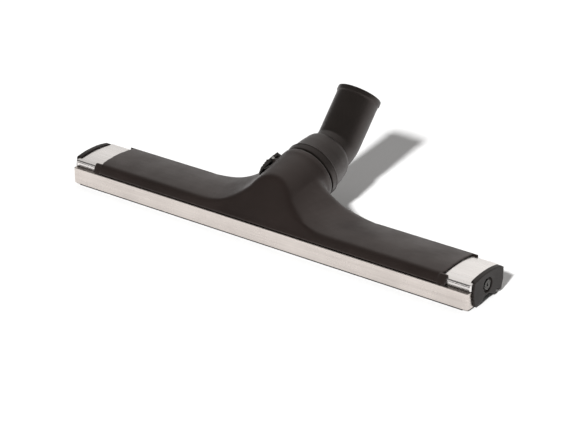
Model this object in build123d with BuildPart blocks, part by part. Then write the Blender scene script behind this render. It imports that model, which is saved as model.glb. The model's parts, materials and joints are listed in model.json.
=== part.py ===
"""Commercial vacuum floor tool, 450 mm wide, with a swivel neck for a 38 mm wand.

Millimetres, +Z up, +X along the tool, the neck points to +Y. The origin lies on the
floor, under the centre of the whole tool's box. Depths are measured from the front face.
"""
from build123d import *
from math import atan2, cos, pi, radians, sin, sqrt, tan
import os

# ---- Overall sizes -----------------------------------------------------------------
tool_length = 450.0  # front rail, end to end
cap_overhang = 2.0  # each end cap reaches this far past the front rail
body_depth = 55.5  # front face to the back of the sole
body_crown = 26.4  # highest point of the sole body above the floor
floor_gap = 2.0  # front rail above the floor
fit_gap = 0.1  # between pieces that are fixed to each other
moving_gap = 0.4  # between pieces that move past each other
clear = 1.0  # how far a cut runs past the piece that it cuts

# ---- Sole body: an extruded channel, open underneath -------------------------------
sole_wall = 1.8
sole_bottom = 3.0
edge_drop = 2.4  # the crowned top falls this much to its edges
edge_round = 1.6
bead_groove = 0.5  # groove under the rounded front edge
bead_groove_height = 0.7
riser_depth = 4.3  # riser above the front rail
ledge_height = 17.9
front_wall_depth = 5.0
crown_depth = 30.0
sole_end_step = 3.0  # the sole body ends this far inside the front rail's end
corner_round = 2.0
port_depth = 29.1  # screw port for the end caps
port_height = 15.7
port_r = 4.0
port_web_width = 16  # of the gap in the caps' tabs, where the port's web passes
port_web = 2.0
cap_screw_r = 1.9

# ---- Suction opening through the top of the sole -------------------------------------
opening_width = 64.0
opening_front = 16.0
opening_back_step = 11.5  # from the back of the sole
opening_round = 8.0
gasket_width = 3.0
gasket_height = 1.0
gasket_inset = 0.6

# ---- Rails and rubber lips -----------------------------------------------------------
rail_wall = 1.4
rail_height = 17.6
rail_flange = 1.4
rail_return = 9.0  # how deep the front rail's wrapped ends are
rail_round = 2.0
rail_edge_round = 0.6
lip_thickness = 3.2
lip_height = 16.0
front_lip_inset = 6.0  # from the front rail's end
rear_lip_inset = 11.0
rear_lip_step = 7.5  # rear lip's front face, from the back of the sole
rear_rail_bottom = 3.2

# ---- End caps ------------------------------------------------------------------------
cap_rise = 1.6  # above the sole's crown
cap_front = 6.4
cap_toe = 9.2
cap_shoulder = 18.0
cap_front_bow = 0.9
cap_top_front = 7.6
cap_top_step = 5.0  # back of the cap's crown, from the back of the sole
cap_back_top = 22.8
cap_back_step = 0.5
cap_foot = 2.6
arch_start = 19.0
arch_end_step = 16.0  # from the back of the sole
arch_height = 6.7
notch_length = 5.5
notch_end_step = 7.5
notch_height = 5.0
cap_heel_step = 3.3
notch_slope = 1.0
cap_tab_length = 5.0
screw_recess_r = 7.0
screw_recess_depth = 2.0
screw_head_r = 4.5
screw_head_height = 1.7
screw_drive_across = 3.0
screw_drive_depth = 1.0
cap_screw_length = 18.0

# ---- Hood ----------------------------------------------------------------------------
hood_inset = 29.5  # end of the hood's top, from the front rail's end
band_inset = 24.5  # front band and rear skirt are longer than the top
band_depth = 6.4
hood_top = 28.2
hood_edge = 25.7
hood_crown_depth = 31.0
hood_overhang = 1.4  # behind the sole
hood_bottom = 17.8
hood_front = 0.8
front_slope = 60.0  # degrees from horizontal
hood_wall = 2.6
crown_inset = 0.4  # the flared block stays this far inside the socket's cylinder
crown_length = 62.0  # the socket's cylinder runs this far forward of the seam
front_flare = 70.0  # radius of the flare at the front
back_flare = 98.5  # radius of the flare at the back
hood_sections = 5
boss_r = 4.0
duct_start = 38.0
hood_screw_r = 1.9
hood_screw_head_r = 3.3
hood_screw_head = 2.2
hood_screw_drop = 1.6  # the screws' seats, below the inside of the sole's crown
hood_screw_top = 29.6
front_screw_step = 10.0  # beside the suction opening
front_screw_depth = 17.0
back_screw_step = 26.0
back_screw_inset = 9.5  # from the back of the sole

# ---- Swivel socket and neck ------------------------------------------------------------
socket_tilt = 15.0
seam_step = 19.9  # behind the sole
seam_height = 42.6
socket_step = 10.2  # the socket's outside, over the wand's radius
socket_end_round = 0.8
socket_wall = 4.2  # round the bearing ring
bearing_start = 1.0
bearing_length = 18.0
bearing_wall = 1.9
running_gap = 0.05
duct_step = 2.6  # the duct is this much smaller than the bearing's bore
socket_floor = 24.0  # depth of the bearing bore from the seam
spigot_length = 22.6
seam_gap = 1.7
seal_width = 3.4
seal_height = 1.2
collar_length = 35.6
collar_end_step = 3.7  # over the tube's radius
collar_step = 9.5
collar_step_drop = 0.9
collar_end_wall = 2.6
collar_round = 3.5
ring_height = 2.2
ring_groove = 1.0
ring_clear = 0.5
o_ring_r = 0.8
o_ring_place = 10.0
wand_r = 19.0  # bore for the wand
wand_depth = 40.0
wand_stop = 0.8
tube_wall = 2.0
tube_angle = 47.5
bend_place = 50.0  # along the socket axis from the seam to the corner of the bend
bend_clear = 3.0  # the bend's radius, over the tube's
tube_reach = 54.5  # from the corner of the bend to the mouth
mouth_lip = 0.9
mouth_lip_height = 5.0

# ---- Release latch -----------------------------------------------------------------------
latch_angle = 152.0
latch_width = 10.0
latch_pivot_place = 14.0
latch_pivot_step = 2.7  # above the socket
latch_pin_r = 1.5
latch_top_step = 5.4
latch_under_step = 2.1
latch_arm_step = 0.8
latch_travel = 2.2
latch_boss_r = 2.3
latch_pad_end = 30.0
latch_pad_start = 3.0
latch_tip_height = 1.6
latch_tooth = 1.1
latch_teeth = 4
latch_tooth_run = 10.2
latch_tooth_fall = 1.4
nose_start = 6.4
nose_end = 3.4
nose_swing = 1.0  # the nose tips this far towards the seam
ear_root_step = 2.2  # into the socket's wall
spring_inset = 3.0
nose_reach = 0.6  # into the bearing ring
nose_notch = 1.0
ear_wall = 2.0
ear_half_length = 2.8
spring_strip = 0.4
spring_width = 6.0

# ---- Rollers -----------------------------------------------------------------------------
roller_x = 150.0
roller_step = 15.5  # from the back of the sole
roller_r = 6.4
roller_width = 9.0
roller_lift = 0.3
roller_round = 1.2
axle_r = 1.5
bracket_wall = 1.6
bracket_half_depth = 5.0
bracket_bottom = 4.2
bracket_top_gap = 1.0

# ---- Worked out from the sizes above -------------------------------------------------------
tilt = radians(socket_tilt)
tube_tilt = radians(tube_angle)
tube_r = wand_r + tube_wall
tube_bore_r = wand_r - wand_stop
bend_r = tube_r + bend_clear
socket_r = wand_r + socket_step
socket_end_r = socket_r - socket_end_round
bearing_r = socket_r - socket_wall
duct_r = bearing_r - duct_step
ring_r = bearing_r - ring_clear
collar_end_r = tube_r + collar_end_step
collar_step_r = socket_end_r - collar_step_drop
latch_pivot_r = socket_r + latch_pivot_step
latch_top_r = socket_r + latch_top_step
latch_under_r = socket_r + latch_under_step
ear_root_r = socket_r - ear_root_step
nose_tip_r = bearing_r - nose_reach
nose_notch_r = bearing_r - nose_notch
opening_back = body_depth - opening_back_step
arch_end = body_depth - arch_end_step
notch_end = body_depth - notch_end_step
notch_start = notch_end - notch_length
roller_depth = body_depth - roller_step
hood_screw_seat = body_crown - sole_wall - hood_screw_drop
front_screw_x = opening_width / 2 + front_screw_step
back_screw_x = opening_width / 2 + back_screw_step
back_screw_depth = body_depth - back_screw_inset
seam_depth = body_depth + seam_step
hood_back = body_depth + hood_overhang
front_lip_length = tool_length - 2 * front_lip_inset
rear_lip_length = tool_length - 2 * rear_lip_inset
rear_lip_depth = body_depth - rear_lip_step
hood_half_depth = hood_back - hood_crown_depth + fit_gap
hood_length = tool_length - 2 * hood_inset
band_length = tool_length - 2 * band_inset
cap_top_back = body_depth - cap_top_step
cap_back_depth = body_depth - cap_back_step
cap_heel = body_depth - cap_heel_step
mouth_depth = seam_depth + bend_place * cos(tilt) + tube_reach * cos(tube_tilt)
mouth_height = seam_height + bend_place * sin(tilt) + tube_reach * sin(tube_tilt)
overall_depth = mouth_depth + (tube_r + mouth_lip) * sin(tube_tilt)
front_y = -overall_depth / 2
rail_half = tool_length / 2
sole_half = rail_half - sole_end_step
cap_face = rail_half + cap_overhang
sole_edge = body_crown - edge_drop
back_wall_depth = body_depth - sole_wall
far_up = body_crown + 3 * socket_r  # above everything the base plane's cuts meet

base = Plane((0, front_y, 0))
section = Plane((0, front_y, 0), x_dir=(0, 1, 0), z_dir=(1, 0, 0))
swivel = Plane(
    (0, front_y + seam_depth, seam_height), x_dir=(1, 0, 0), z_dir=(0, cos(tilt), sin(tilt))
)
mouth = Plane(
    (0, front_y + mouth_depth, mouth_height),
    x_dir=(1, 0, 0),
    z_dir=(0, cos(tube_tilt), sin(tube_tilt)),
)
latch_turn = radians(latch_angle)
latch_out = Vector(cos(latch_turn), -sin(latch_turn) * sin(tilt), sin(latch_turn) * cos(tilt))
latch_plane = Plane(swivel.origin, x_dir=swivel.z_dir, z_dir=swivel.z_dir.cross(latch_out))


def upright(depth):
    """Upright plane across the tool at a depth, with X to the right and Z up."""
    return Plane((0, front_y + depth, 0), x_dir=(1, 0, 0), z_dir=(0, -1, 0))


def sole_top_line(lift):
    """Front edge, crown and back edge of the sole's outside, moved out by lift."""
    front = riser_depth - lift
    back = body_depth + lift
    edge = sole_edge + lift
    ThreePointArc(
        (front, edge - edge_round),
        (front + edge_round * (1 - sqrt(0.5)), edge - edge_round * (1 - sqrt(0.5))),
        (front + edge_round, edge),
    )
    crown = (crown_depth, body_crown + lift)
    ThreePointArc((front + edge_round, edge), crown, (back - edge_round, edge))
    ThreePointArc(
        (back - edge_round, edge),
        (back - edge_round * (1 - sqrt(0.5)), edge - edge_round * (1 - sqrt(0.5))),
        (back, edge - edge_round),
    )


def sole_envelope(lift, bottom):
    """Closed face under the sole's outside, down to a height."""
    with BuildSketch() as outline:
        with BuildLine():
            sole_top_line(lift)
            Polyline(
                (body_depth + lift, sole_edge + lift - edge_round),
                (body_depth + lift, bottom),
                (riser_depth - lift, bottom),
                (riser_depth - lift, sole_edge + lift - edge_round),
            )
        make_face()
    return outline.sketch


def cavity_face():
    """Closed face of the suction channel inside the sole."""
    front = front_wall_depth + sole_wall
    edge = sole_edge - sole_wall
    with BuildSketch() as outline:
        with BuildLine():
            ThreePointArc((front, edge), (crown_depth, body_crown - sole_wall), (back_wall_depth, edge))
            Polyline((back_wall_depth, edge), (back_wall_depth, 0), (front, 0), (front, edge))
        make_face()
    return outline.sketch


def opening_face(grow, mode=Mode.ADD):
    """Rounded rectangle of the suction opening, grown all round."""
    middle = (opening_front + opening_back) / 2
    width = opening_width + 2 * grow
    depth = opening_back - opening_front + 2 * grow
    with Locations((0, middle)):
        RectangleRounded(width, depth, opening_round + grow, mode=mode)


def hood_screw_places():
    """Centres of the four hood screws in the base plane."""
    front = [(side * front_screw_x, front_screw_depth) for side in (-1, 1)]
    back = [(side * back_screw_x, back_screw_depth) for side in (-1, 1)]
    return front + back


def end_band(half, bottom, top):
    """Blocks that lie past a half length at both ends of the tool."""
    reach = cap_face - half + clear
    with BuildPart() as blocks:
        with BuildSketch(base.offset(bottom)):
            with Locations(*[(side * (half + reach / 2), 0) for side in (-1, 1)]):
                Rectangle(reach, 2 * overall_depth)
        extrude(amount=top - bottom)
    return blocks.part


# ---- Sole body -----------------------------------------------------------------------------
with BuildPart() as sole_body:
    with BuildSketch(section.offset(-rail_half)):
        add(sole_envelope(0, sole_bottom))
    extrude(amount=tool_length)
    with BuildSketch(section.offset(-rail_half)):
        add(cavity_face())
        with Locations((front_wall_depth / 2, ledge_height / 2)):
            Rectangle(front_wall_depth, ledge_height)
    extrude(amount=tool_length, mode=Mode.SUBTRACT)
    with BuildSketch(section.offset(-sole_half)):
        with Locations((port_depth, port_height)):
            Circle(port_r)
        web_top = body_crown - sole_wall / 2
        with Locations((port_depth, (port_height + web_top) / 2)):
            Rectangle(port_web, web_top - port_height)
    extrude(amount=2 * sole_half)
    with BuildSketch(section.offset(-rail_half)):
        with Locations((port_depth, port_height)):
            Circle(cap_screw_r + fit_gap)
        with Locations((riser_depth, sole_edge - edge_round - bead_groove_height / 2)):
            Rectangle(2 * bead_groove, bead_groove_height)
    extrude(amount=tool_length, mode=Mode.SUBTRACT)
    with BuildSketch(base):
        opening_face(0)
    extrude(amount=far_up, mode=Mode.SUBTRACT)
    with BuildSketch(base):
        with Locations(*hood_screw_places()):
            Circle(hood_screw_r + fit_gap)
    extrude(amount=far_up, mode=Mode.SUBTRACT)
    with BuildSketch(base):
        with Locations((0, (riser_depth + rail_return) / 2)):
            Rectangle(tool_length - 2 * fit_gap, rail_return - riser_depth)
        fillet(vertices().group_by(Axis.Y)[0], corner_round)
        with Locations((0, (rail_return + body_depth) / 2)):
            Rectangle(2 * sole_half, body_depth - rail_return + fit_gap)
    extrude(amount=far_up, mode=Mode.INTERSECT)
    add(end_band(rail_half - rail_wall - fit_gap, 0, ledge_height), mode=Mode.SUBTRACT)
sole_body.part.label = "sole_body"

# ---- Front rail ------------------------------------------------------------------------------
with BuildPart() as front_rail:
    with BuildSketch(base.offset(floor_gap)):
        with Locations((0, rail_return)):
            RectangleRounded(tool_length, 2 * rail_return, rail_round)
        offset(amount=-rail_wall, mode=Mode.SUBTRACT)
        with Locations((0, 2 * rail_return)):
            Rectangle(tool_length, 2 * rail_return, mode=Mode.SUBTRACT)
    extrude(amount=rail_height - floor_gap)
    with BuildSketch(base.offset(rail_height - rail_flange)):
        with Locations((0, rail_return)):
            RectangleRounded(tool_length, 2 * rail_return, rail_round)
        with Locations((0, riser_depth - fit_gap + rail_return)):
            Rectangle(tool_length, 2 * rail_return, mode=Mode.SUBTRACT)
    extrude(amount=rail_flange)
    fillet(edges().group_by(Axis.Z)[-1].group_by(Axis.Y)[0], rail_edge_round)
front_rail.part.label = "front_rail"

# ---- Rear rail and the two lips ----------------------------------------------------------------
front_lip_depth = rail_wall + fit_gap
rear_rail_depth = rear_lip_depth + lip_thickness + fit_gap
rear_rail_wall = back_wall_depth - fit_gap - rear_rail_depth


def strip(depth, thickness, length, bottom, top):
    """Upright strip along the tool."""
    with BuildPart() as body:
        with BuildSketch(base.offset(bottom)):
            with Locations((0, depth + thickness / 2)):
                Rectangle(length, thickness)
        extrude(amount=top - bottom)
    return body.part


with BuildPart() as rear_rail:
    add(strip(rear_rail_depth, rear_rail_wall, rear_lip_length, rear_rail_bottom, lip_height))
    chamfer(edges().filter_by(Axis.X).group_by(Axis.Z)[0], rear_rail_wall / 4)
rear_rail.part.label = "rear_rail"

with BuildPart() as front_lip:
    add(strip(front_lip_depth, lip_thickness, front_lip_length, 0, lip_height))
    chamfer(edges().filter_by(Axis.X).group_by(Axis.Z)[0].sort_by(Axis.Y)[-1], lip_thickness / 3)
front_lip.part.label = "front_lip"

with BuildPart() as rear_lip:
    add(strip(rear_lip_depth, lip_thickness, rear_lip_length, 0, lip_height))
    chamfer(edges().filter_by(Axis.X).group_by(Axis.Z)[0].sort_by(Axis.Y)[0], lip_thickness / 3)
rear_lip.part.label = "rear_lip"


# ---- End caps and their screws -------------------------------------------------------------------
def cap_face_outline():
    """Side outline of an end cap: bowed front, crowned top, air arch and notch below."""
    edge = sole_edge + cap_rise
    with BuildSketch() as outline:
        with BuildLine():
            ThreePointArc(
                (cap_toe, cap_foot),
                ((cap_toe + cap_front) / 2 - cap_front_bow, (cap_foot + cap_shoulder) / 2),
                (cap_front, cap_shoulder),
            )
            Polyline((cap_front, cap_shoulder), (cap_top_front, edge))
            ThreePointArc(
                (cap_top_front, edge), (crown_depth, body_crown + cap_rise), (cap_top_back, edge)
            )
            Polyline(
                (cap_top_back, edge),
                (cap_back_depth, cap_back_top),
                (cap_back_depth + fit_gap, cap_back_top / 2),
                (cap_heel, cap_foot),
                (notch_end, cap_foot),
                (notch_end - notch_slope, notch_height),
                (notch_start + notch_slope, notch_height),
                (notch_start, cap_foot),
                (arch_end, cap_foot),
            )
            ThreePointArc(
                (arch_end, cap_foot), ((arch_start + arch_end) / 2, arch_height), (arch_start, cap_foot)
            )
            Line((arch_start, cap_foot), (cap_toe, cap_foot))
        make_face()
    return outline.sketch


def end_cap(side):
    """End cap on one side, -1 for left and 1 for right."""
    inner = sole_half + fit_gap
    flange = rail_half + fit_gap
    start = cap_face if side < 0 else -inner
    with BuildPart() as cap:
        with BuildSketch(section.offset(-start)):
            add(cap_face_outline())
        extrude(amount=cap_face - inner)
        with BuildSketch(section.offset(-flange if side < 0 else inner)):
            with Locations((rail_return / 2, body_crown / 2)):
                Rectangle(rail_return + 2 * fit_gap, far_up)
        extrude(amount=flange - inner, mode=Mode.SUBTRACT)
        tab_start = -inner if side < 0 else inner - cap_tab_length
        with BuildSketch(section.offset(tab_start)):
            add(cavity_face())
            offset(amount=-fit_gap)
            with Locations((port_depth, 0)):
                Rectangle(port_web_width, 2 * far_up, mode=Mode.SUBTRACT)
            with Locations((body_depth / 2, 0)):
                Rectangle(overall_depth, 2 * lip_height, mode=Mode.SUBTRACT)
        extrude(amount=cap_tab_length)
        face = Plane((side * cap_face, front_y + port_depth, port_height), z_dir=(side, 0, 0))
        with BuildSketch(face.offset(-screw_recess_depth)):
            Circle(screw_recess_r)
        extrude(amount=screw_recess_depth, mode=Mode.SUBTRACT)
        with BuildSketch(face):
            Circle(cap_screw_r + fit_gap)
        extrude(amount=inner - cap_face, mode=Mode.SUBTRACT)
    return cap.part


left_end_cap = end_cap(-1)
left_end_cap.label = "left_end_cap"
right_end_cap = end_cap(1)
right_end_cap.label = "right_end_cap"

with BuildPart() as end_cap_screws:
    for side in (-1, 1):
        seat = side * (cap_face - screw_recess_depth)
        face = Plane((seat, front_y + port_depth, port_height), z_dir=(side, 0, 0))
        with BuildSketch(face):
            Circle(screw_head_r)
        extrude(amount=screw_head_height)
        with BuildSketch(face):
            Circle(cap_screw_r)
        extrude(amount=-cap_screw_length)
        with BuildSketch(face.offset(screw_head_height - screw_drive_depth)):
            RegularPolygon(screw_drive_across / 2, 6)
        extrude(amount=screw_drive_depth, mode=Mode.SUBTRACT)
end_cap_screws.part.label = "end_cap_screws"


# ---- Hood ------------------------------------------------------------------------------------------
def hood_outline(depth, wall):
    """Section of the hood across the tool: wings, flares and the crown over the duct."""
    fall = ((depth - hood_crown_depth) / hood_half_depth) ** 2
    wing = hood_top - (hood_top - hood_edge) * fall - wall
    flare_r = front_flare + (back_flare - front_flare) * depth / hood_back + wall
    crown_r = socket_r - crown_inset - wall
    axis = seam_height + (depth - seam_depth) * tan(tilt)
    rise = wing + flare_r - axis
    reach = sqrt((crown_r + flare_r) ** 2 - rise**2)
    lean = atan2(rise, reach)
    half_turn = (lean + 2.5 * pi) / 2
    join = (crown_r * cos(lean), axis + crown_r * sin(lean))
    bend = (reach + flare_r * cos(half_turn), wing + flare_r * (1 + sin(half_turn)))
    half = band_length / 2
    ThreePointArc((-join[0], join[1]), (0, axis + crown_r), join)
    ThreePointArc(join, bend, (reach, wing))
    Polyline(
        (reach, wing), (half, wing), (half, hood_bottom), (-half, hood_bottom), (-half, wing), (-reach, wing)
    )
    ThreePointArc((-reach, wing), (-bend[0], bend[1]), (-join[0], join[1]))


def front_plane(wall):
    """Slanted front of the hood, moved in by a wall."""
    slope = radians(front_slope)
    return Plane(
        (0, front_y + hood_front + wall / sin(slope), hood_bottom),
        x_dir=(1, 0, 0),
        z_dir=(0, -sin(slope), cos(slope)),
    )


def hood_block(wall):
    """Block under the hood's outside, pulled in by a wall, behind its slanted front."""
    with BuildPart() as block:
        for step in range(hood_sections):
            depth = (hood_back - wall) * step / (hood_sections - 1)
            with BuildSketch(upright(depth)):
                with BuildLine():
                    hood_outline(depth, wall)
                make_face()
        loft()
        split(bisect_by=front_plane(wall), keep=Keep.BOTTOM)
    return block.part


hood_outside = hood_block(0)
hood_inside = hood_block(hood_wall)
swivel_axis = Axis(swivel.origin, swivel.z_dir)

with BuildPart() as hood_air:
    with BuildSketch(swivel.offset(-duct_start)):
        Circle(duct_r)
    extrude(amount=duct_start - socket_floor)
    split(bisect_by=Plane.XY.offset(body_crown + gasket_height), keep=Keep.TOP)

with BuildPart() as hood_ribs:
    with BuildSketch(base.offset(hood_bottom)):
        opening_face(gasket_inset + gasket_width)
        with Locations(*hood_screw_places()):
            Circle(boss_r)
    extrude(amount=far_up)
    with BuildSketch(base.offset(hood_bottom)):
        opening_face(gasket_inset)
    extrude(amount=far_up, mode=Mode.SUBTRACT)
    add(hood_outside, mode=Mode.INTERSECT)

with BuildPart() as gasket_room:
    with BuildSketch(base):
        opening_face(gasket_inset + gasket_width + fit_gap)
    extrude(amount=body_crown + gasket_height + fit_gap)
    with BuildSketch(section.offset(-rail_half)):
        add(sole_envelope(gasket_height + fit_gap, 0))
    extrude(amount=tool_length, mode=Mode.INTERSECT)


def latch_block(start, end, low, high, half_width, grow=0.0):
    """Block in the latch's frame: along the socket, outwards, and across both ways."""
    with BuildPart() as block:
        with BuildSketch(latch_plane.offset(-half_width - grow)):
            with Locations(((start + end) / 2, (low + high) / 2)):
                Rectangle(end - start + 2 * grow, high - low)
        extrude(amount=2 * (half_width + grow))
    return block.part


ear_inner = latch_width / 2 + moving_gap
ear_outer = ear_inner + ear_wall
latch_half = latch_width / 2
latch_far = latch_top_r + ear_wall  # outside the latch and its ears
nose_slot = latch_block(-nose_start, nose_swing - nose_end, nose_notch_r, latch_far, latch_half, moving_gap)
pad_floor_r = latch_under_r - latch_travel
pad_pocket = latch_block(-latch_pad_end, 0, pad_floor_r, latch_far, latch_half, moving_gap)

with BuildPart() as latch_ears:
    for start in (-ear_outer, ear_inner):
        with BuildSketch(latch_plane.offset(start)):
            with Locations((-latch_pivot_place, latch_pivot_r)):
                Circle(ear_half_length)
            with Locations((-latch_pivot_place, (latch_pivot_r + ear_root_r) / 2)):
                Rectangle(2 * ear_half_length, latch_pivot_r - ear_root_r)
        extrude(amount=ear_wall)

with BuildPart() as top_hood:
    with BuildSketch(swivel.offset(-crown_length)):
        Circle(socket_r)
    extrude(amount=crown_length)
    fillet(faces().sort_by(swivel_axis)[-1].edges(), socket_r - socket_end_r)
    add(hood_outside)
    split(bisect_by=front_plane(0), keep=Keep.BOTTOM)
    add(hood_inside, mode=Mode.SUBTRACT)
    add(hood_ribs.part)
    with BuildSketch(section.offset(-cap_face)):
        add(sole_envelope(fit_gap, -far_up))
    extrude(amount=2 * cap_face, mode=Mode.SUBTRACT)
    add(gasket_room.part, mode=Mode.SUBTRACT)
    add(hood_air.part, mode=Mode.SUBTRACT)
    with BuildSketch(swivel.offset(-socket_floor)):
        Circle(bearing_r)
    extrude(amount=socket_floor, mode=Mode.SUBTRACT)
    add(pad_pocket, mode=Mode.SUBTRACT)
    add(latch_ears.part)
    add(nose_slot, mode=Mode.SUBTRACT)
    with BuildSketch(latch_plane.offset(-ear_outer)):
        with Locations((-latch_pivot_place, latch_pivot_r)):
            Circle(latch_pin_r)
    extrude(amount=2 * ear_outer, mode=Mode.SUBTRACT)
    with BuildSketch(base):
        with Locations(*hood_screw_places()):
            Circle(hood_screw_r + running_gap)
    extrude(amount=hood_screw_top + fit_gap, mode=Mode.SUBTRACT)
    trim_middle = (band_depth + body_depth + fit_gap) / 2
    for side in (-1, 1):
        with BuildSketch(base):
            with Locations((side * (hood_length + tool_length) / 2, trim_middle)):
                Rectangle(tool_length, body_depth + fit_gap - band_depth)
        extrude(amount=far_up, mode=Mode.SUBTRACT)
top_hood.part.label = "top_hood"

with BuildPart() as hood_gasket:
    with BuildSketch(base):
        opening_face(gasket_inset + gasket_width)
        opening_face(gasket_inset, Mode.SUBTRACT)
    extrude(amount=far_up)
    with BuildSketch(section.offset(-rail_half)):
        add(sole_envelope(gasket_height, 0))
    extrude(amount=tool_length, mode=Mode.INTERSECT)
    with BuildSketch(section.offset(-rail_half)):
        add(sole_envelope(0, 0))
    extrude(amount=tool_length, mode=Mode.SUBTRACT)
hood_gasket.part.label = "hood_gasket"

with BuildPart() as hood_screws:
    with BuildSketch(base.offset(hood_screw_seat - hood_screw_head)):
        with Locations(*hood_screw_places()):
            Circle(hood_screw_head_r)
    extrude(amount=hood_screw_head)
    with BuildSketch(base.offset(hood_screw_seat)):
        with Locations(*hood_screw_places()):
            Circle(hood_screw_r)
    extrude(amount=hood_screw_top - hood_screw_seat)
    with BuildSketch(base.offset(hood_screw_seat - hood_screw_head)):
        with Locations(*hood_screw_places()):
            RegularPolygon(screw_drive_across / 2, 6)
    extrude(amount=screw_drive_depth, mode=Mode.SUBTRACT)
hood_screws.part.label = "hood_screws"

# ---- Swivel: bearing, seal, collar, elbow and their rings ----------------------------------------
neck_section = Plane(swivel.origin, x_dir=swivel.z_dir, z_dir=(1, 0, 0))
bearing_bore = bearing_r - bearing_wall
spigot_r = bearing_bore - running_gap
bearing_end = bearing_start + bearing_length
ring_start = bearing_end + moving_gap
ring_end = ring_start + ring_height


def ring(start, end, inner, outer):
    """Plain ring on the swivel axis between two places."""
    with BuildPart() as body:
        with BuildSketch(swivel.offset(start)):
            Circle(outer)
            Circle(inner, mode=Mode.SUBTRACT)
        extrude(amount=end - start)
    return body.part


with BuildPart() as bearing_ring:
    add(ring(-bearing_end, -bearing_start, bearing_bore, bearing_r - running_gap))
    add(nose_slot, mode=Mode.SUBTRACT)
bearing_ring.part.label = "bearing_ring"

with BuildPart() as swivel_seal:
    seal_inner = spigot_r + moving_gap
    add(ring(fit_gap, fit_gap + seal_height, seal_inner, seal_inner + seal_width))
swivel_seal.part.label = "swivel_seal"

with BuildPart() as retaining_ring:
    add(ring(-ring_end, -ring_start, spigot_r - ring_groove + fit_gap, ring_r))
retaining_ring.part.label = "retaining_ring"

with BuildPart() as spigot_o_ring:
    with BuildSketch(neck_section):
        with Locations((-o_ring_place, spigot_r - o_ring_r)):
            Circle(o_ring_r)
    revolve(axis=swivel_axis)
spigot_o_ring.part.label = "spigot_o_ring"

with BuildPart() as swivel_collar:
    collar_bore = spigot_r + fit_gap
    lip_start = collar_length - collar_end_wall
    round_start = collar_length - collar_round
    round_middle = collar_round * (1 - sqrt(0.5))
    with BuildSketch(neck_section):
        with BuildLine():
            Polyline(
                (collar_length, collar_end_r - collar_round),
                (collar_length, tube_r + fit_gap),
                (lip_start, tube_r + fit_gap),
                (lip_start, collar_bore),
                (seam_gap, collar_bore),
                (seam_gap, socket_end_r - fit_gap),
                (seam_gap + fit_gap, socket_end_r),
                (collar_step, socket_end_r - fit_gap),
                (collar_step + fit_gap, collar_step_r),
                (round_start, collar_end_r),
            )
            ThreePointArc(
                (round_start, collar_end_r),
                (collar_length - round_middle, collar_end_r - round_middle),
                (collar_length, collar_end_r - collar_round),
            )
        make_face()
    revolve(axis=swivel_axis)
swivel_collar.part.label = "swivel_collar"


def tube(radius):
    """Solid of the bent tube's centre line with a radius."""
    turn = tube_tilt - tilt
    with BuildPart() as body:
        with BuildLine(neck_section):
            FilletPolyline(
                (-spigot_length, 0),
                (bend_place, 0),
                (bend_place + tube_reach * cos(turn), tube_reach * sin(turn)),
                radius=bend_r,
            )
        with BuildSketch(swivel.offset(-spigot_length)):
            Circle(radius)
        sweep()
    return body.part


with BuildPart() as elbow_tube:
    add(tube(tube_r))
    with BuildSketch(swivel.offset(-spigot_length)):
        Circle(spigot_r)
    extrude(amount=spigot_length + collar_length - collar_end_wall - fit_gap)
    with BuildSketch(mouth.offset(-mouth_lip_height)):
        Circle(tube_r + mouth_lip)
    extrude(amount=mouth_lip_height)
    add(tube(tube_bore_r), mode=Mode.SUBTRACT)
    with BuildSketch(mouth):
        Circle(wand_r)
    extrude(amount=-wand_depth, mode=Mode.SUBTRACT)
    groove_r = spigot_r - 2 * o_ring_r - fit_gap
    groove_half = o_ring_r + fit_gap
    groove = ring(-o_ring_place - groove_half, -o_ring_place + groove_half, groove_r, socket_r)
    add(groove, mode=Mode.SUBTRACT)
    add(ring(-ring_end, -ring_start, spigot_r - ring_groove, socket_r), mode=Mode.SUBTRACT)
elbow_tube.part.label = "elbow_tube"

# ---- Release latch -------------------------------------------------------------------------------
with BuildPart() as release_latch:
    with BuildSketch(latch_plane.offset(-latch_width / 2)):
        with BuildLine():
            Polyline(
                (-nose_end, latch_top_r - latch_arm_step),
                (-nose_end, nose_tip_r),
                (-nose_start, nose_tip_r),
                (-nose_start, latch_under_r),
                (-latch_pad_end, latch_under_r),
                (-latch_pad_end, latch_under_r + latch_tip_height),
                (-latch_pivot_place - latch_pad_start, latch_top_r),
                (-latch_pivot_place + latch_pad_start, latch_top_r),
                (-nose_end, latch_top_r - latch_arm_step),
            )
        make_face()
        with Locations((-latch_pivot_place, latch_pivot_r)):
            Circle(latch_boss_r)
        for tooth in range(latch_teeth):
            share = tooth / (latch_teeth - 1)
            along = latch_pad_start + latch_tooth + share * latch_tooth_run
            height = latch_top_r - share * latch_tooth_fall
            with Locations((-latch_pivot_place - along, height)):
                Circle(latch_tooth)
    extrude(amount=latch_width)
    with BuildSketch(latch_plane.offset(-latch_width / 2)):
        with Locations((-latch_pivot_place, latch_pivot_r)):
            Circle(latch_pin_r + running_gap)
    extrude(amount=latch_width, mode=Mode.SUBTRACT)
release_latch.part.label = "release_latch"

with BuildPart() as latch_pin:
    with BuildSketch(latch_plane.offset(-ear_outer)):
        with Locations((-latch_pivot_place, latch_pivot_r)):
            Circle(latch_pin_r)
    extrude(amount=2 * ear_outer)
latch_pin.part.label = "latch_pin"

with BuildPart() as latch_spring:
    foot = (-latch_pivot_place - ear_half_length - moving_gap, socket_r + fit_gap)
    top = (-latch_pad_end + spring_inset, latch_under_r - fit_gap)
    with BuildSketch(latch_plane.offset(-spring_width / 2)):
        Polygon(
            foot,
            (foot[0] - spring_strip, foot[1]),
            (top[0], top[1] - spring_strip),
            top,
            align=None,
        )
    extrude(amount=spring_width)
latch_spring.part.label = "latch_spring"

# ---- Rollers -------------------------------------------------------------------------------------
roller_height = roller_r + roller_lift
axle_half = roller_width / 2 + moving_gap + bracket_wall


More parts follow.
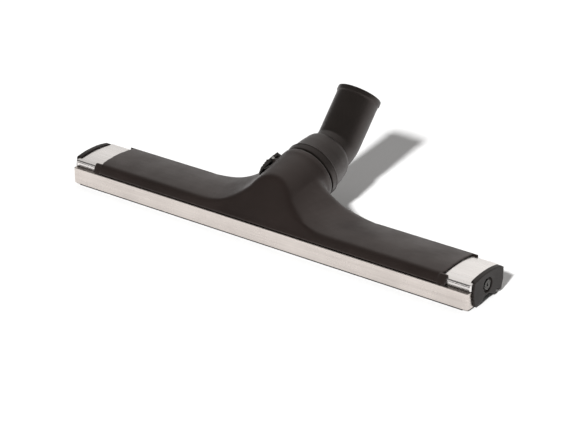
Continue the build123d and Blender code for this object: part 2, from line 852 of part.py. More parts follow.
def roller(side):
    """Roller on one side, -1 for left and 1 for right."""
    with BuildPart() as body:
        with BuildSketch(section.offset(side * roller_x - roller_width / 2)):
            with Locations((roller_depth, roller_height)):
                Circle(roller_r)
        extrude(amount=roller_width)
        fillet(edges().filter_by(GeomType.CIRCLE), roller_round)
        with BuildSketch(section.offset(side * roller_x - roller_width / 2)):
            with Locations((roller_depth, roller_height)):
                Circle(axle_r + running_gap)
        extrude(amount=roller_width, mode=Mode.SUBTRACT)
    return body.part


left_roller = roller(-1)
left_roller.label = "left_roller"
right_roller = roller(1)
right_roller.label = "right_roller"

with BuildPart() as roller_axles:
    for side in (-1, 1):
        with BuildSketch(section.offset(side * roller_x - axle_half)):
            with Locations((roller_depth, roller_height)):
                Circle(axle_r)
        extrude(amount=2 * axle_half)
roller_axles.part.label = "roller_axles"

with BuildPart() as roller_brackets:
    for side in (-1, 1):
        with BuildSketch(section.offset(side * roller_x - axle_half)):
            with Locations((roller_depth, (bracket_bottom + body_crown) / 2)):
                Rectangle(2 * bracket_half_depth, body_crown - bracket_bottom)
        extrude(amount=2 * axle_half)
    with BuildSketch(section.offset(-rail_half)):
        add(cavity_face())
    extrude(amount=tool_length, mode=Mode.INTERSECT)
    for side in (-1, 1):
        with BuildSketch(section.offset(side * roller_x - axle_half + bracket_wall)):
            with Locations((roller_depth, roller_height)):
                Rectangle(body_depth, 2 * (roller_r + bracket_top_gap))
        extrude(amount=2 * (axle_half - bracket_wall), mode=Mode.SUBTRACT)
        with BuildSketch(section.offset(side * roller_x - axle_half)):
            with Locations((roller_depth, roller_height)):
                Circle(axle_r)
        extrude(amount=2 * axle_half, mode=Mode.SUBTRACT)
roller_brackets.part.label = "roller_brackets"

# ---- One STEP file for each piece ------------------------------------------------------------------
pieces = [
    sole_body.part,
    front_rail.part,
    rear_rail.part,
    front_lip.part,
    rear_lip.part,
    left_end_cap,
    right_end_cap,
    end_cap_screws.part,
    top_hood.part,
    hood_gasket.part,
    hood_screws.part,
    bearing_ring.part,
    swivel_seal.part,
    retaining_ring.part,
    spigot_o_ring.part,
    swivel_collar.part,
    elbow_tube.part,
    release_latch.part,
    latch_pin.part,
    latch_spring.part,
    left_roller,
    right_roller,
    roller_axles.part,
    roller_brackets.part,
]
os.makedirs("parts", exist_ok=True)
for piece in pieces:
    export_step(piece, f"parts/{piece.label}.step")
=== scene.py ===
import json
from math import atan2, cos, pi, radians, sin, sqrt, tan

import bmesh
import bpy
import numpy as np
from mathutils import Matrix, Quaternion, Vector


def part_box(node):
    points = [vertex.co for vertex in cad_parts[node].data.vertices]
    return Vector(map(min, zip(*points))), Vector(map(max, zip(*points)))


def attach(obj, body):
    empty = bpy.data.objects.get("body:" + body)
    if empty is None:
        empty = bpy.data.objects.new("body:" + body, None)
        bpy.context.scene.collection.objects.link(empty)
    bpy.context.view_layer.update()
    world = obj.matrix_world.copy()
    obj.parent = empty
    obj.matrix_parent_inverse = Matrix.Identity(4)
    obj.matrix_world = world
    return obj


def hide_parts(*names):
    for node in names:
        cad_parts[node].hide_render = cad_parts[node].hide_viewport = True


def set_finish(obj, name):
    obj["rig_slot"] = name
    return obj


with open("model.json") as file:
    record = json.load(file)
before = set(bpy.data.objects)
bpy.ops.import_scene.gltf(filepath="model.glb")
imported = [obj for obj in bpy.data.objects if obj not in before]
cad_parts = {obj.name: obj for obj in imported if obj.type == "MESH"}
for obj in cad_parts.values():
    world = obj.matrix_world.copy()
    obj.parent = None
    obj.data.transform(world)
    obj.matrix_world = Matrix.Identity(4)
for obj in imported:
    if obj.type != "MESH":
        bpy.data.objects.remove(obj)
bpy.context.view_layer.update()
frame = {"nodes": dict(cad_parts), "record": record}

# ---- Sizes and places, in metres, some read from the frame ------------------------------------------
mm = 0.001
joints = {joint["name"]: joint for joint in frame["record"]["behaviour"]["joints"]}
front_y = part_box("front_rail")[0].y  # front face, from which depths are measured
swivel_axis = Vector(joints["neck_swivel"]["axis"]).normalized()
tilt = atan2(swivel_axis.z, swivel_axis.y)
seam_depth = 75.4 * mm  # of the swivel's seam, on its axis
seam_height = 42.6 * mm
seam = Vector((0, front_y + seam_depth, seam_height))
swivel_out = Vector((0, -sin(tilt), cos(tilt)))
across = Vector((1, 0, 0))
weld = 0.001 * mm

# ---- Small helpers ----------------------------------------------------------------------------------


def new_piece(name, mesh, body, slot, replaced=()):
    """Object of a mesh that rides on a body and stands for CAD nodes."""
    piece = bpy.data.objects.new(name, mesh)
    bpy.context.collection.objects.link(piece)
    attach(piece, body)
    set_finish(piece, slot)
    if replaced:
        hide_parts(*replaced)
    return piece


def mesh_of(name, points, faces):
    """Mesh of points and faces, with its normals outwards."""
    mesh = bpy.data.meshes.new(name)
    mesh.from_pydata([tuple(p) for p in points], [], faces)
    mesh.validate()
    build = bmesh.new()
    build.from_mesh(mesh)
    bmesh.ops.remove_doubles(build, verts=build.verts, dist=weld)
    bmesh.ops.recalc_face_normals(build, faces=build.faces)
    build.to_mesh(mesh)
    build.free()
    return mesh


def joined(name, meshes):
    """One mesh out of several closed ones."""
    build = bmesh.new()
    for mesh in meshes:
        build.from_mesh(mesh)
    bmesh.ops.remove_doubles(build, verts=build.verts, dist=weld)
    bmesh.ops.recalc_face_normals(build, faces=build.faces)
    mesh = bpy.data.meshes.new(name)
    build.to_mesh(mesh)
    build.free()
    return mesh


def remeshed(name, mesh, voxel):
    """Closed skin round a mesh, in even cells."""
    piece = bpy.data.objects.new(name, mesh)
    bpy.context.collection.objects.link(piece)
    cells = piece.modifiers.new("cells", "REMESH")
    cells.mode = "VOXEL"
    cells.voxel_size = voxel
    cells.use_smooth_shade = True
    graph = bpy.context.evaluated_depsgraph_get()
    skin = bpy.data.meshes.new_from_object(piece.evaluated_get(graph))
    bpy.data.objects.remove(piece)
    skin.name = name
    return skin


def points_of(mesh):
    """Places of a mesh's points, one row each."""
    points = np.empty(len(mesh.vertices) * 3)
    mesh.vertices.foreach_get("co", points)
    return points.reshape(-1, 3)


def relax(mesh, points, weight, passes):
    """Pulls each point towards the middle of its neighbours."""
    edges = np.empty(len(mesh.edges) * 2, int)
    mesh.edges.foreach_get("vertices", edges)
    first, second = edges.reshape(-1, 2).T
    count = len(points)
    degree = np.bincount(edges, minlength=count)[:, None]
    weight = np.broadcast_to(weight, (count,))[:, None]
    for _ in range(passes):
        total = np.empty_like(points)
        for axis in range(3):
            ahead = np.bincount(first, points[second, axis], count)
            behind = np.bincount(second, points[first, axis], count)
            total[:, axis] = ahead + behind
        points = points + weight * (total / degree - points)
    return points


def write_points(mesh, points):
    """Moves a mesh's points to new places."""
    mesh.vertices.foreach_set("co", points.astype(np.float32).ravel())
    mesh.update()


def smoothstep(value, low, high):
    """Eased share of the way from low to high."""
    share = np.clip((value - low) / (high - low), 0, 1)
    return share * share * (3 - 2 * share)


half_way = 0.5  # smoothing weight: half way to the neighbours' mean in each pass


def soft_copy(name, node, voxel, passes, body, slot):
    """Copy of a CAD node with its edges rounded off."""
    source = joined(name + "_source", [frame["nodes"][node].data])
    skin = remeshed(name, source, voxel)
    write_points(skin, relax(skin, points_of(skin), half_way, passes))
    skin.materials.clear()
    return new_piece(name, skin, body, slot, (node,))


corner_share = 0.45  # most of a side that one rounded corner may take


def scaled(outline):
    """Outline given in millimetres, in metres."""
    return [(along * mm, out * mm) for along, out in outline]


def rounded(points, radii, steps=4):
    """Closed outline with each corner turned into a small arc."""
    out = []
    for place, corner in enumerate(points):
        corner = Vector(corner)
        before = Vector(points[place - 1]) - corner
        after = Vector(points[(place + 1) % len(points)]) - corner
        radius = radii[place] if isinstance(radii, list) else radii
        reach = min(radius, before.length * corner_share, after.length * corner_share)
        start = corner + before.normalized() * reach
        end = corner + after.normalized() * reach
        for step in range(steps + 1):
            share = step / steps
            out.append(start * (1 - share) ** 2 + corner * 2 * share * (1 - share) + end * share**2)
    return out


def ring_faces(rings, count, closed):
    """Faces between rings of points, back to the first ring or with flat ends."""
    faces = []
    if not closed:
        last = (rings - 1) * count
        faces += [tuple(range(count)), tuple(last + k for k in reversed(range(count)))]
    for ring in range(rings if closed else rings - 1):
        here, ahead = ring * count, (ring + 1) % rings * count
        for k in range(count):
            n = (k + 1) % count
            faces.append((here + k, here + n, ahead + n, ahead + k))
    return faces


def lathe(name, outline, segments=160):
    """Mesh of a closed outline (place along the swivel axis, radius) turned about that axis."""
    points = []
    for turn in range(segments):
        angle = 2 * pi * turn / segments
        out = across * cos(angle) + swivel_out * sin(angle)
        for place in outline:
            points.append(seam + swivel_axis * place[0] + out * place[1])
    mesh = mesh_of(name, points, ring_faces(segments, len(outline), True))
    mesh.shade_smooth()
    return mesh


# ---- Hood -------------------------------------------------------------------------------------------
hood_top = 28.2 * mm
hood_edge = 25.7 * mm
hood_crown_depth = 31.0 * mm
hood_half_depth = 26.0 * mm
hood_back = 56.9 * mm
hood_bottom = 17.8 * mm
hood_front = 0.8 * mm
front_slope = radians(60)
front_flare = 70.0 * mm
back_flare = 98.5 * mm
socket_r = 29.2 * mm
crown_r = 28.8 * mm
fairing_end = 74.0 * mm
fairing_start = 50.0 * mm
fairing_steps = 16
fairing_side_steps = 24
fairing_fall = 2.4  # how fast its flare dies out
fairing_least_r = 2.0 * mm
fairing_sink = 0.4 * mm  # below the hood's top, where it starts
fairing_rise = 6.0 * mm  # of its foot, over its length
fairing_floor = 0.6 * mm  # above the hood's bottom edge
fairing_last_gap = 2.4 * mm
ring_place = -5.2 * mm  # of the faint ring, before the seam
ring_r = 0.75 * mm
ring_sink = 0.35 * mm
ring_steps = 8
ring_turns = 96
ear_start = 192.5 * mm
ear_end = 200.5 * mm
# Outline of an ear in millimetres (depth, height), the radius of each corner, and how far the outline
# is drawn in at each share of the ear's length from its tip.
ear_corners = [(0.9, 17.9), (5.4, 25.8), (7.6, 26.15), (7.6, 24.45), (5.2, 24.1), (4.15, 22.6), (4.15, 17.9)]
ear_radii = [0.3, 3.0, 0.5, 0.2, 0.2, 0.2, 0.2]
ear_corner_steps = 6
ear_pulls = [(0.0, 0.35), (0.12, 0.12), (0.35, 0.0), (1.0, 0.0)]
hood_cell = 0.8 * mm
hood_passes = 5
edge_weight = 0.1  # of the smoothing at the bottom edge
face_weight = 0.4  # and what is added above it
edge_height = 3.0 * mm
crease_width = 6.0 * mm
crease_low, crease_high = 29.0 * mm, 34.0 * mm
brow_depth, brow_height, brow_width = 5.4 * mm, 25.8 * mm, 3.2 * mm
back_width = 5.0 * mm
back_far, back_near = 100.0 * mm, 60.0 * mm
back_low, back_high = 20.0 * mm, 26.0 * mm
blend_passes = 60
hood_sharp = radians(60)


def fairing_mesh():
    """The flare's run-out behind the hood's back, which hugs the socket."""
    points = []
    for step in range(fairing_steps):
        depth = fairing_start + (fairing_end - fairing_start) * step / (fairing_steps - 1)
        run = max(0.0, (depth - hood_back) / (fairing_end - hood_back))
        flare_share = min(depth, hood_back) / hood_back
        flare_r = (front_flare + (back_flare - front_flare) * flare_share) * (1 - run) ** fairing_fall
        flare_r = max(flare_r, fairing_least_r)
        fall = ((min(depth, hood_back) - hood_crown_depth) / hood_half_depth) ** 2
        wing = hood_top - (hood_top - hood_edge) * fall - fairing_sink + fairing_rise * run
        axis = seam.z + (depth - seam_depth) * tan(tilt)
        rise = wing + flare_r - axis
        reach = sqrt((crown_r + flare_r) ** 2 - rise**2)
        lean = atan2(rise, reach)
        half = []
        for k in range(fairing_side_steps + 1):
            angle = lean + pi + (pi / 2 - lean) * k / fairing_side_steps
            half.append((reach + flare_r * cos(angle), wing + flare_r * (1 + sin(angle))))
        floor = hood_bottom + fairing_floor + (wing - hood_bottom - fairing_last_gap) * run
        half.append((reach, floor))
        ring = half + [(-x, z) for x, z in reversed(half)]
        points += [Vector((x, front_y + depth, z)) for x, z in ring]
    return mesh_of("fairing", points, ring_faces(fairing_steps, len(ring), False))


def socket_ring_mesh():
    """Faint raised ring just before the seam."""
    outline = []
    for step in range(ring_steps):
        angle = 2 * pi * step / ring_steps
        outline.append((ring_place + ring_r * cos(angle), socket_r - ring_sink + ring_r * sin(angle)))
    return lathe("ring", outline, ring_turns)


def ear_meshes():
    """Rounded ends of the front band, which reach past the hood's top."""
    radii = [r * mm for r in ear_radii]
    outline = rounded(scaled(ear_corners), radii, ear_corner_steps)
    middle = sum(outline, Vector((0, 0))) / len(outline)
    meshes = []
    for side in (-1, 1):
        points = []
        for share, pull in ear_pulls:
            x = side * (ear_end - (ear_end - ear_start) * share)
            for corner in outline:
                spot = corner + (middle - corner).normalized() * pull * mm
                points.append(Vector((x, front_y + spot.x, spot.y)))
        meshes.append(mesh_of("ear", points, ring_faces(len(ear_pulls), len(outline), False)))
    return meshes


def hood_shell():
    """The hood with its fairing and ring in one soft skin, and the ears beside it."""
    source = joined(
        "hood_source",
        [frame["nodes"]["top_hood"].data, fairing_mesh(), socket_ring_mesh()],
    )
    skin = remeshed("hood_shell", source, hood_cell)
    points = points_of(skin)
    low_edge = smoothstep(points[:, 2], hood_bottom, hood_bottom + edge_height)
    points = relax(skin, points, edge_weight + face_weight * low_edge, hood_passes)
    depth = points[:, 1] - front_y
    height = points[:, 2]
    side = np.abs(points[:, 0])
    front = (depth - hood_front - (height - hood_bottom) / tan(front_slope)) * sin(front_slope)
    crease = np.exp(-((front / crease_width) ** 2)) * smoothstep(height, crease_low, crease_high)
    brow = np.exp(-(((depth - brow_depth) ** 2 + (height - brow_height) ** 2) / brow_width**2))
    crease = np.maximum(crease, brow)
    back = np.exp(-(((depth - hood_back) / back_width) ** 2)) * smoothstep(side, back_far, back_near)
    back *= smoothstep(height, back_low, back_high)
    points = relax(skin, points, half_way * np.clip(crease + back, 0, 1), blend_passes)
    write_points(skin, points)
    skin.materials.clear()
    whole = joined("hood_shell", [skin] + ear_meshes())
    whole.shade_smooth()
    whole.set_sharp_from_angle(angle=hood_sharp)
    return new_piece("hood_shell", whole, "nozzle", "hood_plastic", ("top_hood",))


# ---- Neck -------------------------------------------------------------------------------------------
# Outlines are in millimetres: place along the axis, and radius.
collar_outline = [
    (1.75, 24.2), (1.75, 27.6), (2.3, 28.35), (8.1, 28.4), (8.9, 28.85), (9.6, 28.3), (10.1, 27.75),
    (22.0, 26.5), (31.0, 25.05), (33.6, 24.2), (35.2, 22.6), (35.6, 21.3), (33.0, 21.15), (33.0, 23.2),
    (30.0, 23.2), (4.0, 23.2),
]
collar_round = 0.9 * mm
collar_round_steps = 3
spigot_outline = [(-22.6, 22.4), (-22.2, 23.0), (24.0, 23.0), (32.6, 23.0), (32.8, 21.0)]
mouth_outline = [
    (-9.0, 21.0), (-7.0, 21.05), (-5.6, 21.2), (-4.9, 21.7), (-4.2, 21.9), (-1.0, 21.9), (-0.3, 21.7),
    (0, 21.1), (0, 19.5), (-0.3, 19.2), (-1.2, 19.0), (-39.4, 19.0), (-40.0, 18.3),
]  # places are from the mouth's end, round its lip and down the bore for the wand
tube_tilt = radians(47.5)
tube_reach = 54.5 * mm  # from the bend's corner to the mouth
tube_r = 21.0 * mm
bore_r = 18.2 * mm
wand_depth = 40.0 * mm
spigot_start = -22.6 * mm
bend_place = 50.0 * mm  # of the bend's corner, from the seam
bend_r = 24.0 * mm
bend_steps = 12
tube_sides = 128
tube_sharp = radians(50)


def collar_shell():
    """Tapered collar behind the seam, with its low ridge."""
    outline = rounded(scaled(collar_outline), collar_round, collar_round_steps)
    mesh = lathe("swivel_collar_shell", outline)
    return new_piece("swivel_collar_shell", mesh, "neck", "neck_plastic", ("swivel_collar",))


def elbow_shell():
    """Bent tube with its spigot, bore and thicker mouth, swept along the centre line."""
    turn = tube_tilt - tilt
    tangent = bend_r * tan(turn / 2)
    corner = seam + swivel_axis * bend_place
    tube_axis = Vector((0, cos(tube_tilt), sin(tube_tilt)))
    arc_start = corner - swivel_axis * tangent
    arc_centre = arc_start + swivel_out * bend_r
    arc_length = bend_r * turn
    straight = bend_place - tangent
    total = straight + arc_length + tube_reach - tangent

    def station(s):
        """Point and direction on the centre line at a length from the seam."""
        if s < straight:
            return seam + swivel_axis * s, swivel_axis
        if s < straight + arc_length:
            angle = tilt + (s - straight) / bend_r
            along = Vector((0, cos(angle), sin(angle)))
            return arc_centre - Vector((0, -sin(angle), cos(angle))) * bend_r, along
        return corner + tube_axis * (tangent + s - straight - arc_length), tube_axis

    bend = [straight + arc_length * k / bend_steps for k in range(bend_steps + 1)]
    profile = scaled(spigot_outline) + [(s, tube_r) for s in bend]
    profile += [(total + place, r) for place, r in scaled(mouth_outline)]
    profile += [(s, bore_r) for s in reversed(bend) if s < total - wand_depth]
    profile += [(0.0, bore_r), (spigot_start, bore_r)]
    points = []
    for s, r in profile:
        centre, along = station(s)
        up = across.cross(along)
        for k in range(tube_sides):
            angle = 2 * pi * k / tube_sides
            points.append(centre + across * r * cos(angle) + up * r * sin(angle))
    mesh = mesh_of("elbow_shell", points, ring_faces(len(profile), tube_sides, True))
    mesh.shade_smooth()
    mesh.set_sharp_from_angle(angle=tube_sharp)
    return new_piece("elbow_shell", mesh, "neck", "neck_plastic", ("elbow_tube",))


# ---- Materials --------------------------------------------------------------------------------------
# Places of the colour sockets on a mix node.
mix_share, mix_first, mix_second, mix_result = 0, 6, 7, 2
bevel_samples = 4
worn_turn, flat_turn = 0.80, 0.99  # how far a bevelled normal agrees with the true one


def feed(tree, socket, value):
    """Links a socket to another one, or sets its value."""
    if isinstance(value, bpy.types.NodeSocket):
        tree.links.new(value, socket)
    else:
        socket.default_value = value


def add_node(tree, kind, inputs, settings):
    """Node of a tree with its settings and inputs."""
    made = tree.nodes.new(kind)
    for key, value in settings.items():
        setattr(made, key, value)
    for key, value in inputs.items():
        feed(tree, made.inputs[key], value)
    return made


class Graph:
    """Node tree of one material, with short calls for the nodes it uses. Scales are per metre."""

    def __init__(self, name):
        self.material = bpy.data.materials.new(name)
        self.material.use_nodes = True
        self.tree = self.material.node_tree
        self.shader = self.tree.nodes["Principled BSDF"]
        self.place = self.node("ShaderNodeTexCoord").outputs["Object"]

    def node(self, kind, inputs=None, **settings):
        return add_node(self.tree, kind, inputs or {}, settings)

    def stretched(self, scale):
        """Object coordinates scaled on each axis."""
        return self.node("ShaderNodeMapping", {"Vector": self.place, "Scale": scale}).outputs["Vector"]

    def noise(self, scale, detail=3.0, rough=0.55, vector=None):
        inputs = {"Vector": vector or self.place, "Scale": scale, "Detail": detail, "Roughness": rough}
        return self.node("ShaderNodeTexNoise", inputs).outputs["Fac"]

    def streaks(self, scale, detail, rough=0.55):
        """Noise drawn out along the axes with a small scale."""
        return self.noise(1.0, detail, rough, self.stretched(scale))

    def cells(self, scale):
        inputs = {"Vector": self.place, "Scale": scale}
        return self.node("ShaderNodeTexVoronoi", inputs).outputs["Distance"]

    def ramp(self, value, low, high, start=0.3, end=0.7):
        """Maps start to end of a value onto low to high."""
        inputs = {"Value": value, "From Min": start, "From Max": end, "To Min": low, "To Max": high}
        return self.node("ShaderNodeMapRange", inputs).outputs["Result"]

    def contrast(self, value, start=0.3, end=0.7):
        return self.ramp(value, 0, 1, start, end)

    def math(self, operation, first, second):
        return self.node("ShaderNodeMath", {0: first, 1: second}, operation=operation).outputs[0]

    def blend(self, *shares):
        """Sum of values, each times its share."""
        total = None
        for value, share in shares:
            part = self.math("MULTIPLY", value, share)
            total = part if total is None else self.math("ADD", total, part)
        return total

    def mix(self, share, first, second):
        """Mix of two colours."""
        inputs = {mix_share: share, mix_first: first, mix_second: second}
        return self.node("ShaderNodeMix", inputs, data_type="RGBA").outputs[mix_result]

    def bevelled(self, radius):
        return self.node("ShaderNodeBevel", {"Radius": radius}, samples=bevel_samples).outputs["Normal"]

    def edges(self, radius):
        """Near 1 on worn outer edges, 0 on flat faces."""
        bevel = self.bevelled(radius)
        normal = self.node("ShaderNodeNewGeometry").outputs["Normal"]
        dot = self.node("ShaderNodeVectorMath", {0: bevel, 1: normal}, operation="DOT_PRODUCT")
        return self.ramp(dot.outputs["Value"], 1.0, 0.0, worn_turn, flat_turn)

    def bump(self, layers, radius=0.0):
        """Bump from (height, distance in mm) layers, over edges rounded by a radius."""
        normal = self.bevelled(radius) if radius else None
        for height, distance in layers:
            inputs = {"Height": height, "Distance": distance * mm, "Strength": 1.0}
            if normal is not None:
                inputs["Normal"] = normal
            normal = self.node("ShaderNodeBump", inputs).outputs["Normal"]
        self.set("Normal", normal)

    def set(self, key, value):
        """Gives the shader's own input a value or a link."""
        feed(self.tree, self.shader.inputs[key], value)


def grey(red, green, blue):
    return (red, green, blue, 1.0)


warm_shine = grey(1.0, 0.86, 0.82)
rubbed_grey = grey(0.16, 0.15, 0.145)


def moulded_plastic(name, dark, light, rough, grain_scale, grain, wear, shine):
    """Textured moulded plastic: mottled colour, spark-eroded grain, rubbed edges."""
    g = Graph(name)
    mottle = g.noise(22.0, 4.0)
    flow = g.streaks((14.0, 60.0, 60.0), 3.0)
    tone = g.contrast(g.blend((mottle, 0.6), (flow, 0.4)))
    rubbed = g.math("MULTIPLY", g.edges(0.9 * mm), g.contrast(g.noise(260.0, 4.0), 0.42, 0.62))
    bare = g.math("MULTIPLY", rubbed, wear)
    g.set("Base Color", g.mix(bare, g.mix(tone, dark, light), rubbed_grey))
    smudge = g.ramp(g.noise(38.0, 5.0, 0.6), rough - 0.06, rough + 0.07)
    polish = g.math("MULTIPLY", rubbed, -0.08)
    g.set("Roughness", g.math("ADD", smudge, polish))
    g.set("Specular IOR Level", shine)
    g.set("Specular Tint", warm_shine)
    wave = g.noise(45.0, 2.0)
    fine = g.noise(grain_scale * 1.7, 2.0)
    g.bump([(wave, 0.05), (g.cells(grain_scale), grain), (fine, grain * 0.8)])
    return g.material


def drawn_metal(name, dark, light, rough, along, line_depth, spots):
    """Metal drawn or brushed along the tool: long streaks, dull patches, fine scratches."""
    g = Graph(name)
    lines = g.streaks((along, 2600.0, 2600.0), 5.0, 0.6)
    broad = g.streaks((along * 0.4, 420.0, 420.0), 3.0, 0.5)
    patches = g.noise(30.0, 4.0, 0.6)
    tone = g.contrast(g.blend((lines, 0.35), (broad, 0.3), (patches, 0.35)), 0.32, 0.68)
    g.set("Base Color", g.mix(tone, dark, light))
    g.set("Metallic", 1.0)
    scratch = g.contrast(g.streaks((90.0, 900.0, 1500.0), 2.0, 0.5), 0.66, 0.74)
    dull = g.ramp(patches, rough - 0.05, rough + spots)
    g.set("Roughness", g.math("ADD", dull, g.math("MULTIPLY", scratch, 0.12)))
    g.bump([(lines, line_depth), (scratch, -0.006)], 0.35 * mm)
    return g.material


def rubber(name):
    """Black rubber with drawn ribs and a little dust."""
    g = Graph(name)
    tone = g.contrast(g.noise(60.0, 5.0))
    dust = g.math("MULTIPLY", g.contrast(g.noise(420.0, 3.0), 0.55, 0.75), 0.35)
    colour = g.mix(tone, grey(0.010, 0.010, 0.010), grey(0.022, 0.021, 0.020))
    g.set("Base Color", g.mix(dust, colour, grey(0.06, 0.057, 0.052)))
    g.set("Roughness", g.ramp(g.noise(140.0, 4.0), 0.62, 0.82))
    ribs = g.streaks((40.0, 1500.0, 1500.0), 2.0, 0.5)
    g.bump([(ribs, 0.02), (g.noise(2200.0, 2.0), 0.015)], 0.3 * mm)
    return g.material


def turned_steel(name, dark, light, rough):
    """Zinc-plated steel: cloudy plating with fine pits."""
    g = Graph(name)
    tone = g.contrast(g.noise(500.0, 4.0))
    g.set("Base Color", g.mix(g.edges(0.3 * mm), g.mix(tone, dark, light), grey(0.62, 0.61, 0.6)))
    g.set("Metallic", 1.0)
    g.set("Roughness", g.ramp(g.noise(900.0, 3.0), rough - 0.06, rough + 0.1))
    g.bump([(g.noise(2600.0, 3.0), 0.01)], 0.2 * mm)
    return g.material


def sliding_plastic(name, dark, light, rough):
    """Smooth plastic of bearings and rollers, scuffed where it runs."""
    g = Graph(name)
    tone = g.contrast(g.noise(70.0, 4.0))
    scuffs = g.contrast(g.streaks((300.0, 40.0, 300.0), 4.0, 0.6), 0.55, 0.8)
    worn = g.math("MULTIPLY", scuffs, 0.5)
    g.set("Base Color", g.mix(worn, g.mix(tone, dark, light), grey(0.05, 0.047, 0.043)))
    g.set("Roughness", g.ramp(g.noise(300.0, 4.0), rough - 0.06, rough + 0.12))
    g.bump([(g.noise(1400.0, 3.0), 0.012)], 0.3 * mm)
    return g.material


materials = {
    "brushed_aluminium": drawn_metal(
        "brushed_aluminium",
        dark=grey(0.72, 0.69, 0.67),
        light=grey(0.93, 0.90, 0.88),
        rough=0.25,
        along=9.0,
        line_depth=0.010,
        spots=0.05,
    ),
    "polished_strip": drawn_metal(
        "polished_strip",
        dark=grey(0.54, 0.49, 0.46),
        light=grey(0.78, 0.715, 0.67),
        rough=0.26,
        along=16.0,
        line_depth=0.003,
        spots=0.06,
    ),
    "black_rubber": rubber("black_rubber"),
    "hood_plastic": moulded_plastic(
        "hood_plastic",
        dark=grey(0.0056, 0.0038, 0.0032),
        light=grey(0.0098, 0.0067, 0.0058),
        rough=0.43,
        grain_scale=2100.0,
        grain=0.030,
        wear=0.35,
        shine=0.72,
    ),
    "neck_plastic": moulded_plastic(
        "neck_plastic",
        dark=grey(0.0045, 0.0038, 0.0033),
        light=grey(0.0075, 0.0062, 0.0054),
        rough=0.42,
        grain_scale=2600.0,
        grain=0.022,
        wear=0.35,
        shine=0.66,
    ),
    # Copy of the hood plastic with far less sheen: painted shade for the end caps.
    "shaded_cap_plastic": moulded_plastic(
        "shaded_cap_plastic",
        dark=grey(0.0060, 0.0050, 0.0045),
        light=grey(0.0100, 0.0084, 0.0076),
        rough=0.46,
        grain_scale=2100.0,
        grain=0.030,
        wear=0.35,
        shine=0.26,
    ),
    "latch_plastic": moulded_plastic(
        "latch_plastic",
        dark=grey(0.0060, 0.0058, 0.0052),
        light=grey(0.0100, 0.0096, 0.0088),
        rough=0.40,
        grain_scale=3000.0,
        grain=0.015,
        wear=0.5,
        shine=0.5,
    ),
    "screw_steel": turned_steel(
        "screw_steel", dark=grey(0.045, 0.043, 0.04), light=grey(0.09, 0.086, 0.08), rough=0.36
    ),
    "plain_steel": turned_steel(
        "plain_steel", dark=grey(0.42, 0.41, 0.4), light=grey(0.55, 0.54, 0.52), rough=0.26
    ),
    "bearing_plastic": sliding_plastic(
        "bearing_plastic", dark=grey(0.42, 0.40, 0.36), light=grey(0.55, 0.53, 0.48), rough=0.36
    ),
    "roller_plastic": sliding_plastic(
        "roller_plastic", dark=grey(0.10, 0.10, 0.10), light=grey(0.16, 0.16, 0.155), rough=0.42
    ),
}


def dress(piece, slot):
    """Gives a piece the material of a slot."""
    if piece.material_slots:
        for holder in piece.material_slots:
            holder.material = materials[slot]
    else:
        piece.data.materials.append(materials[slot])


# ---- Pieces -----------------------------------------------------------------------------------------
cap_cell, cap_passes = 0.4 * mm, 3
latch_cell, latch_passes = 0.25 * mm, 8
for piece in (hood_shell(), collar_shell(), elbow_shell()):
    dress(piece, piece["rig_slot"])
# The caps share the hood's slot but get a copy of its plastic with far less sheen, so they read darker:
# painted shade.
for name, node in (("left_cap_shell", "left_end_cap"), ("right_cap_shell", "right_end_cap")):
    dress(soft_copy(name, node, cap_cell, cap_passes, "nozzle", "hood_plastic"), "shaded_cap_plastic")
latch = soft_copy("latch_shell", "release_latch", latch_cell, latch_passes, "latch", "latch_plastic")
dress(latch, "latch_plastic")

for thing in frame["nodes"].values():
    for holder in thing.material_slots:
        holder.material = materials[holder.material.name.split(".")[0]]

# ---- Floor, light and camera ------------------------------------------------------------------------
floor_size = 12.0
floor_mesh = mesh_of(
    "floor",
    [Vector((x * floor_size, y * floor_size, 0)) for x, y in ((-1, -1), (1, -1), (1, 1), (-1, 1))],
    [(0, 1, 2, 3)],
)
floor = bpy.data.objects.new("floor", floor_mesh)
bpy.context.collection.objects.link(floor)
paper = Graph("paper")
fibre = paper.ramp(paper.noise(3.0), 0, 1, 0.0, 1.0)
paper.set("Base Color", paper.mix(fibre, grey(0.80, 0.80, 0.80), grey(0.83, 0.83, 0.83)))
paper.set("Roughness", 0.9)
paper.set("Specular IOR Level", 0.1)
floor.data.materials.append(paper.material)

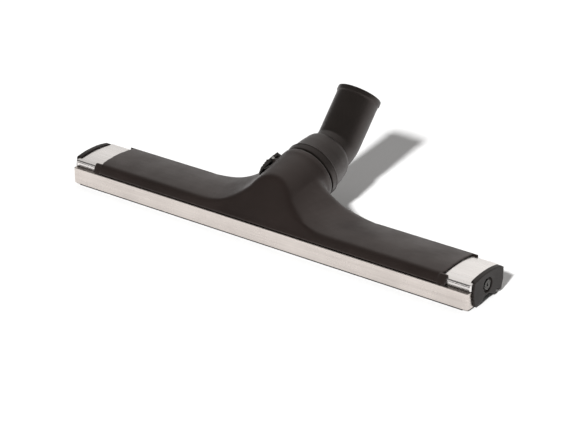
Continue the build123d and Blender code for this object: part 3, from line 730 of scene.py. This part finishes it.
view_direction = Vector((-0.54407, 0.72381, -0.42436))
camera_place = Vector((1.00585, -1.38395, 0.7983))
camera_roll = radians(-0.13)
camera_data = bpy.data.cameras.new("camera")
camera_data.lens = 126.1
camera_data.sensor_width = 36.0
camera = bpy.data.objects.new("camera", camera_data)
bpy.context.collection.objects.link(camera)
camera.rotation_mode = "QUATERNION"
camera.location = camera_place
camera.rotation_quaternion = view_direction.to_track_quat("-Z", "Y") @ Quaternion((0, 0, 1), camera_roll)
bpy.context.scene.camera = camera

# The key light casts the shadow behind the tool and leaves no glint on it.
key_direction = Vector((-0.32, 1.38, -1.0))
key_data = bpy.data.lights.new("key", "SUN")
key_data.energy = 5.7
key_data.angle = radians(5.0)
key = bpy.data.objects.new("key", key_data)
bpy.context.collection.objects.link(key)
key.rotation_mode = "QUATERNION"
key.rotation_quaternion = key_direction.to_track_quat("-Z", "Y")
key.visible_glossy = False

softbox = Vector((-0.15, 0.85, 0.50)).normalized()
softbox_edge, softbox_middle = 0.50, 1.0  # agreement of a direction with the softbox
room_light, softbox_light = 0.14, 1.02
haze_height, haze_light = 0.16, 0.62
room_colour = grey(1.0, 0.985, 0.97)


def eased(tree, value, start, end, low, high):
    """Eased map of start to end of a value onto low to high."""
    inputs = {"Value": value, "From Min": start, "From Max": end, "To Min": low, "To Max": high}
    made = add_node(tree, "ShaderNodeMapRange", inputs, {"interpolation_type": "SMOOTHSTEP"})
    return made.outputs["Result"]


def studio():
    """Soft room: dim all round, brightest high behind the object, with a pale haze at floor level."""
    world = bpy.data.worlds.new("studio")
    bpy.context.scene.world = world
    world.use_nodes = True
    tree = world.node_tree
    direction = add_node(tree, "ShaderNodeTexCoord", {}, {}).outputs["Generated"]
    inputs = {0: direction, 1: tuple(softbox)}
    dot = add_node(tree, "ShaderNodeVectorMath", inputs, {"operation": "DOT_PRODUCT"}).outputs["Value"]
    glow = eased(tree, dot, softbox_edge, softbox_middle, room_light, softbox_light)
    height = add_node(tree, "ShaderNodeSeparateXYZ", {0: direction}, {}).outputs["Z"]
    haze = eased(tree, height, 0.0, haze_height, haze_light, 0.0)
    total = add_node(tree, "ShaderNodeMath", {0: glow, 1: haze}, {"operation": "MAXIMUM"}).outputs[0]
    background = tree.nodes["Background"]
    feed(tree, background.inputs["Strength"], total)
    feed(tree, background.inputs["Color"], room_colour)


studio()
bpy.context.scene.view_settings.view_transform = "Standard"
